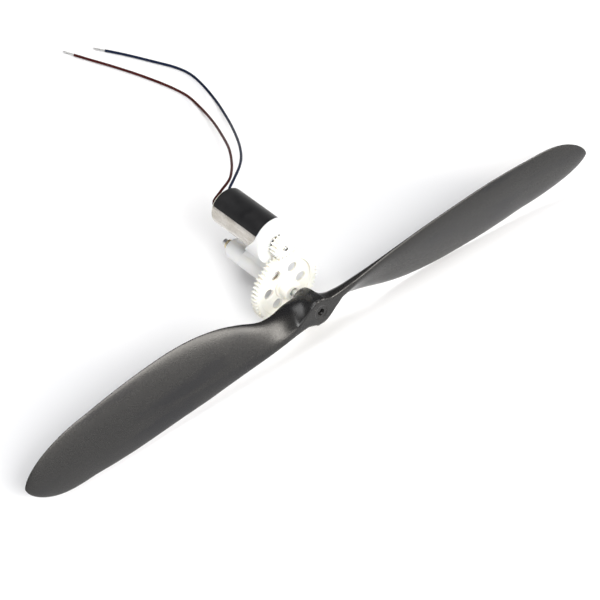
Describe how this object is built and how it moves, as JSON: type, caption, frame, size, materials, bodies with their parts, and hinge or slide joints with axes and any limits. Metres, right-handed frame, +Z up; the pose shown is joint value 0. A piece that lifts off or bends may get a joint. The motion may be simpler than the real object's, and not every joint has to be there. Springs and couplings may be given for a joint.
{
  "type": "geared propeller drive unit",
  "caption": "Moulded two-blade model aircraft propeller on a steel shaft, driven through a plastic spur gear by a small round motor clamped in a white gearbox, with thin leads.",
  "frame": {"origin": "centre of the unit's footprint, leads left out, on the surface that the blade edges touch", "axes": "+X along the blades, -Y the way the propeller faces (forward along its shaft), +Z up, with the motor above the shaft"},
  "size_m": [0.1518, 0.1185, 0.0246],
  "materials": {
    "prop_plastic": "satin moulded dark grey",
    "gear_acetal": "warm white moulded acetal",
    "white_nylon": "satin moulded white",
    "end_cap_plastic": "satin cream",
    "rotor_resin": "matte brown",
    "label_film": "satin black film",
    "lead_red": "satin insulation",
    "lead_blue": "satin insulation",
    "bright_steel": "ground bright",
    "can_steel": "drawn, bright plated",
    "magnet_nickel": "nickel plated",
    "sintered_bronze": "sintered, dull",
    "brass_trim": "satin",
    "copper_wire": "enamelled wire",
    "commutator_metal": "satin",
    "tin_solder": "tinned, satin silver"
  },
  "bodies": {
    "power_unit": {"blue_lead": "lead_blue", "blue_tinned_end": "tin_solder", "brush_blue": "brass_trim", "brush_red": "brass_trim", "front_bushing": "sintered_bronze", "gearbox_frame": "white_nylon", "motor_can": "can_steel", "motor_end_cap": "end_cap_plastic", "motor_front_bearing": "sintered_bronze", "motor_label": "label_film", "motor_magnet": "magnet_nickel", "rear_bushing": "sintered_bronze", "red_lead": "lead_red", "red_tinned_end": "tin_solder", "solder_blue": "tin_solder", "solder_red": "tin_solder"},
    "drive_line": {"propeller": "prop_plastic", "prop_shaft": "bright_steel", "main_gear": "gear_acetal", "rear_washer": "bright_steel", "rear_collar": "brass_trim"},
    "rotor": {"motor_shaft": "bright_steel", "pinion": "gear_acetal", "rotor_coil": "copper_wire", "rotor_hub": "rotor_resin", "commutator": "commutator_metal"}
  },
  "joints": [
    {"name": "prop_spin", "type": "hinge", "parent": "power_unit", "child": "drive_line", "pos_m": [0, 0, 0.0089], "axis": [0, 1, 0], "continuous": true},
    {"name": "rotor_spin", "type": "hinge", "parent": "power_unit", "child": "rotor", "pos_m": [0, 0, 0.01945], "axis": [0, 1, 0], "continuous": true}
  ],
  "couplings": [
    {"joint": "rotor_spin", "follows": "prop_spin", "ratio": -3.375}
  ]
}
